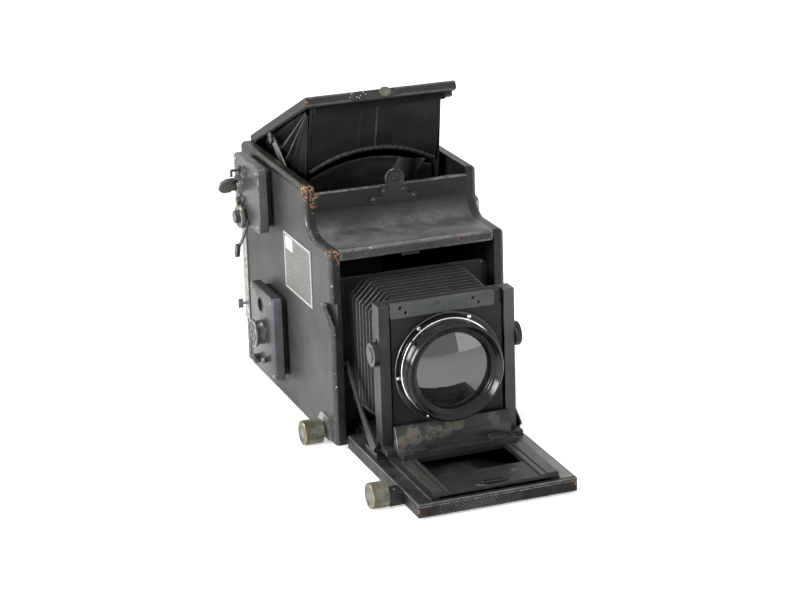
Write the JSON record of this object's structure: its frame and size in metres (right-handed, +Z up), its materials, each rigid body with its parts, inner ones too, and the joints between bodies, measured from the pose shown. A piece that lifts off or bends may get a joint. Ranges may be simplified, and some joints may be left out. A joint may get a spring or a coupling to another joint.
{
  "type": "single lens reflex camera",
  "caption": "Large-format single-lens reflex camera: leather-covered case with raised viewing lid and hood, folding bed, racked standard with lens, bellows and revolving plate back.",
  "frame": {"origin": "mouth of the tripod socket in the middle of the case's underside", "axes": "+Z up, -Y towards the lens and the open bed, +X towards the side with the carrying handle; the winding key is on the -X side"},
  "size_m": [0.215, 0.4433, 0.3037],
  "materials": {
    "leather": "pebbled black leather over wood",
    "hood_leather": "soft black leather",
    "strap": "black strap leather",
    "inside_black": "matte black stain",
    "rollers": "bare wood rollers on steel shafts",
    "enamel": "worn black enamel",
    "nickel": "aged satin nickel",
    "olive_brass": "dull olive lacquered brass",
    "bright_nickel": "bright nickel and black lens barrel",
    "paper": "pale plate with fine ruled rows",
    "glass": "coated lens glass",
    "ground_glass": "frosted",
    "mirror": "silvered",
    "cloth": "rubberised black cloth"
  },
  "bodies": {
    "body": {"side_left": "leather", "side_right": "leather", "floor_board": "leather", "roof_front": "leather", "rear_panel": "leather", "well_floor": "inside_black", "well_rear": "inside_black", "screen_glass": "ground_glass", "well_fittings": "enamel", "case_feet": "nickel", "tripod_bush": "olive_brass", "catch_plate": "nickel", "lid_hinge": "nickel", "hood_front": "hood_leather", "hood_sides": "hood_leather", "curtain": "cloth", "back_plate": "leather", "side_fittings": "nickel", "upper_housing": "enamel", "lower_housing": "enamel", "speed_plate": "paper", "bed_board": "leather", "bed_fittings": "nickel", "floor_guides": "inside_black", "bellows_frame": "inside_black", "bellows": "hood_leather", "carry_handle": "strap"},
    "lid": {"lid_board": "leather", "lid_fittings": "nickel"},
    "left_stay": {"stay_left": "nickel"},
    "right_stay": {"stay_right": "nickel"},
    "catch": {"lid_catch": "nickel"},
    "mirror": {"mirror_frame": "enamel", "mirror_glass": "mirror"},
    "lever": {"mirror_lever": "nickel"},
    "upper_roller": {"roller_top": "rollers"},
    "lower_roller": {"roller_low": "rollers"},
    "revolving_back": {"turning_back": "enamel", "plate_holder": "inside_black"},
    "slide": {"dark_slide": "enamel"},
    "lock_screw": {"back_screw": "nickel"},
    "key": {"winding_key": "nickel"},
    "idler": {"idler_gear": "olive_brass"},
    "dial": {"aperture_dial": "nickel"},
    "hook": {"release_hook": "nickel"},
    "tension": {"tension_knob": "olive_brass"},
    "release": {"tension_release": "nickel"},
    "body_pinion": {"body_focus": "olive_brass"},
    "bed_pinion": {"bed_focus": "olive_brass"},
    "latch": {"bed_catch": "nickel"},
    "track": {"track_frame": "olive_brass", "standard": "enamel"},
    "finger": {"track_catch": "nickel"},
    "carrier": {"lens_carrier": "inside_black", "lens_board": "inside_black", "lens_barrel": "bright_nickel", "lens_glass": "glass"},
    "left_clamp": {"rise_clamp_left": "nickel"},
    "right_clamp": {"rise_clamp_right": "nickel"},
    "iris": {"iris_ring": "enamel"}
  },
  "joints": [
    {"name": "track_slide", "type": "slide", "parent": "body", "child": "track", "axis": [0, 1, 0], "range_m": [0, 0.034], "deforming": ["bellows"]},
    {"name": "body_focus_turn", "type": "hinge", "parent": "body", "child": "body_pinion", "pos_m": [0, -0.092, 0.0065], "axis": [1, 0, 0], "range_deg": [-545, 5]},
    {"name": "bed_focus_turn", "type": "hinge", "parent": "body", "child": "bed_pinion", "pos_m": [0, -0.2535, 0.0065], "axis": [1, 0, 0], "range_deg": [-545, 5]},
    {"name": "front_rise", "type": "slide", "parent": "track", "child": "carrier", "axis": [0, 0, 1], "range_m": [0, 0.012]},
    {"name": "left_clamp_turn", "type": "hinge", "parent": "carrier", "child": "left_clamp", "pos_m": [-0.0626, -0.18, 0.103], "axis": [1, 0, 0], "continuous": true},
    {"name": "right_clamp_turn", "type": "hinge", "parent": "carrier", "child": "right_clamp", "pos_m": [0.0626, -0.18, 0.103], "axis": [1, 0, 0], "continuous": true},
    {"name": "iris_turn", "type": "hinge", "parent": "carrier", "child": "iris", "pos_m": [0, -0.196, 0.085], "axis": [0, 1, 0], "range_deg": [0, 80]},
    {"name": "lid_turn", "type": "hinge", "parent": "body", "child": "lid", "pos_m": [0, 0.133, 0.218], "axis": [1, 0, 0], "range_deg": [0, 23.2], "deforming": ["hood_front", "hood_sides"]},
    {"name": "left_stay_turn", "type": "hinge", "parent": "lid", "child": "left_stay", "pos_m": [-0.068, 0.07214, 0.23592], "axis": [1, 0, 0], "range_deg": [-47, 0.5]},
    {"name": "right_stay_turn", "type": "hinge", "parent": "lid", "child": "right_stay", "pos_m": [0.068, 0.07214, 0.23592], "axis": [1, 0, 0], "range_deg": [-47, 0.5]},
    {"name": "catch_turn", "type": "hinge", "parent": "body", "child": "catch", "pos_m": [0.002, -0.058, 0.2215], "axis": [0, 1, 0], "range_deg": [0, 60]},
    {"name": "latch_lift", "type": "slide", "parent": "body", "child": "latch", "axis": [0, 0, 1], "range_m": [0, 0.002], "stiffness_N_per_m": 500, "springref_m": -0.002},
    {"name": "winding_turn", "type": "hinge", "parent": "body", "child": "key", "pos_m": [-0.09, 0.092, 0.19], "axis": [1, 0, 0], "continuous": true},
    {"name": "upper_roller_turn", "type": "hinge", "parent": "body", "child": "upper_roller", "pos_m": [0, 0.119, 0.19], "axis": [1, 0, 0], "continuous": true},
    {"name": "lower_roller_turn", "type": "hinge", "parent": "body", "child": "lower_roller", "pos_m": [0, 0.119, 0.013], "axis": [1, 0, 0], "continuous": true},
    {"name": "idler_turn", "type": "hinge", "parent": "body", "child": "idler", "pos_m": [-0.09, 0.085, 0.1765], "axis": [1, 0, 0], "continuous": true},
    {"name": "dial_turn", "type": "hinge", "parent": "body", "child": "dial", "pos_m": [-0.09, 0.078, 0.163], "axis": [1, 0, 0], "continuous": true},
    {"name": "mirror_swing", "type": "hinge", "parent": "body", "child": "mirror", "pos_m": [0, 0.102, 0.145], "axis": [1, 0, 0], "range_deg": [-50, 0]},
    {"name": "lever_turn", "type": "hinge", "parent": "body", "child": "lever", "pos_m": [-0.0985, 0.078, 0.163], "axis": [1, 0, 0], "range_deg": [0, 25]},
    {"name": "hook_turn", "type": "hinge", "parent": "body", "child": "hook", "pos_m": [-0.098, 0.085, 0.206], "axis": [1, 0, 0], "range_deg": [0, 15], "stiffness_Nm_per_rad": 0.05, "springref_deg": -11.46},
    {"name": "back_turn", "type": "hinge", "parent": "body", "child": "revolving_back", "pos_m": [0, 0.137, 0.085], "axis": [0, 1, 0], "range_deg": [0, 90]},
    {"name": "slide_pull", "type": "slide", "parent": "revolving_back", "child": "slide", "axis": [0, 0, 1], "range_m": [0, 0.115]},
    {"name": "lock_screw_turn", "type": "hinge", "parent": "body", "child": "lock_screw", "pos_m": [-0.085, 0.1335, 0.059], "axis": [1, 0, 0], "continuous": true},
    {"name": "tension_turn", "type": "hinge", "parent": "body", "child": "tension", "pos_m": [-0.098, 0.04, 0.06], "axis": [1, 0, 0], "range_deg": [0, 300]},
    {"name": "release_turn", "type": "hinge", "parent": "body", "child": "release", "pos_m": [-0.098, 0.053, 0.03], "axis": [1, 0, 0], "range_deg": [0, 45]},
    {"name": "finger_pull", "type": "slide", "parent": "track", "child": "finger", "axis": [0, 1, 0], "range_m": [0, 0.003], "stiffness_N_per_m": 500, "springref_m": -0.002}
  ],
  "couplings": [
    {"joint": "body_focus_turn", "follows": "track_slide", "rad_per_m": -277.78},
    {"joint": "bed_focus_turn", "follows": "track_slide", "rad_per_m": -277.78},
    {"joint": "left_stay_turn", "follows": "lid_turn", "ratio": -2},
    {"joint": "right_stay_turn", "follows": "lid_turn", "ratio": -2},
    {"joint": "upper_roller_turn", "follows": "winding_turn", "ratio": -3},
    {"joint": "lower_roller_turn", "follows": "winding_turn", "ratio": -3},
    {"joint": "idler_turn", "follows": "winding_turn", "ratio": -0.31034},
    {"joint": "dial_turn", "follows": "winding_turn", "ratio": 1},
    {"joint": "lever_turn", "follows": "mirror_swing", "ratio": -0.5}
  ]
}
